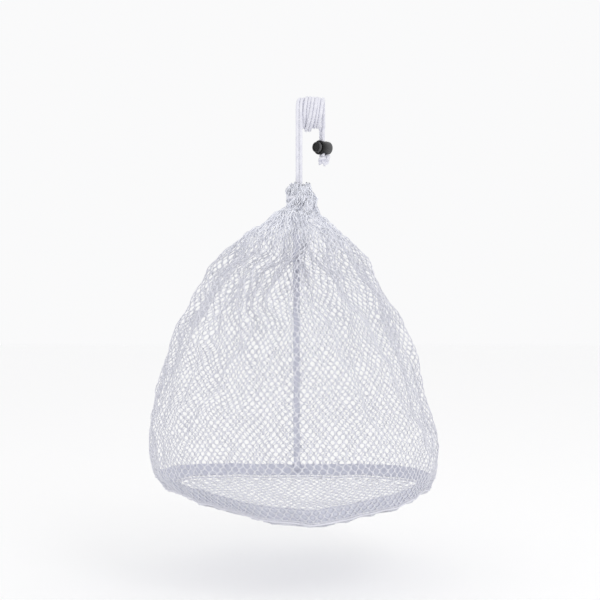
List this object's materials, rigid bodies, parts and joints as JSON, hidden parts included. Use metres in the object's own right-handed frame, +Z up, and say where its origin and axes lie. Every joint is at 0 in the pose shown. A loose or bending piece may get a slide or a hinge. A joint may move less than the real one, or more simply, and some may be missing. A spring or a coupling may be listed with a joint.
{
  "type": "mesh laundry bag",
  "caption": "Round-based drawstring laundry bag of coarse open net, gathered shut and hung from a rail by its doubled braided cord, with a sprung barrel cord lock above the end knot.",
  "frame": {"origin": "centre of the round rail that the doubled drawcord is wound round, at the middle of the cord's hanging pair", "axes": "+Z up, X along the rail with the winding advancing towards +X, the bag's front faces -Y and the cord lock hangs behind the rail at +Y"},
  "size_m": [0.3, 0.3, 0.4386],
  "materials": {
    "net": "coarse knitted polyester net, soft sheen",
    "tape": "woven white tape",
    "thread": "white sewing thread",
    "cord": "round braided polyester cord",
    "lock_plastic": "black moulded plastic, satin",
    "spring_steel": "drawn spring wire"
  },
  "bodies": {
    "rail_cord": {"rail_coil": "cord", "cord_tail_a": "cord", "cord_tail_b": "cord", "end_knot": "cord", "cord_ends": "cord"},
    "cord_drop": {"cord_drop_a": "cord", "cord_drop_b": "cord"},
    "bag": {"body_net": "net", "back_seam": "net", "base_net": "net", "base_tape": "tape", "base_stitching": "thread", "mouth_casing": "net", "casing_stitching": "thread", "casing_cord": "cord"},
    "lock": {"lock_barrel": "lock_plastic", "lock_spring": "spring_steel"},
    "lock_button": {"lock_plunger": "lock_plastic"}
  },
  "joints": [
    {"name": "side_swing", "type": "hinge", "parent": "rail_cord", "child": "cord_drop", "pos_m": [0, -0.01425, -0.012], "axis": [0, 1, 0], "range_deg": [-20, 20]},
    {"name": "fore_aft_tilt", "type": "hinge", "parent": "cord_drop", "child": "bag", "pos_m": [0, -0.01425, -0.084], "axis": [1, 0, 0], "range_deg": [-15, 15]},
    {"name": "lock_slide", "type": "slide", "parent": "rail_cord", "child": "lock", "axis": [0, 0, 1], "range_m": [0, 0.008]},
    {"name": "plunger_press", "type": "slide", "parent": "lock", "child": "lock_button", "axis": [0.7431, 0.6691, 0], "range_m": [0, 0.003], "stiffness_N_per_m": 900, "springref_m": -0.003, "deforming": ["lock_spring"]}
  ]
}
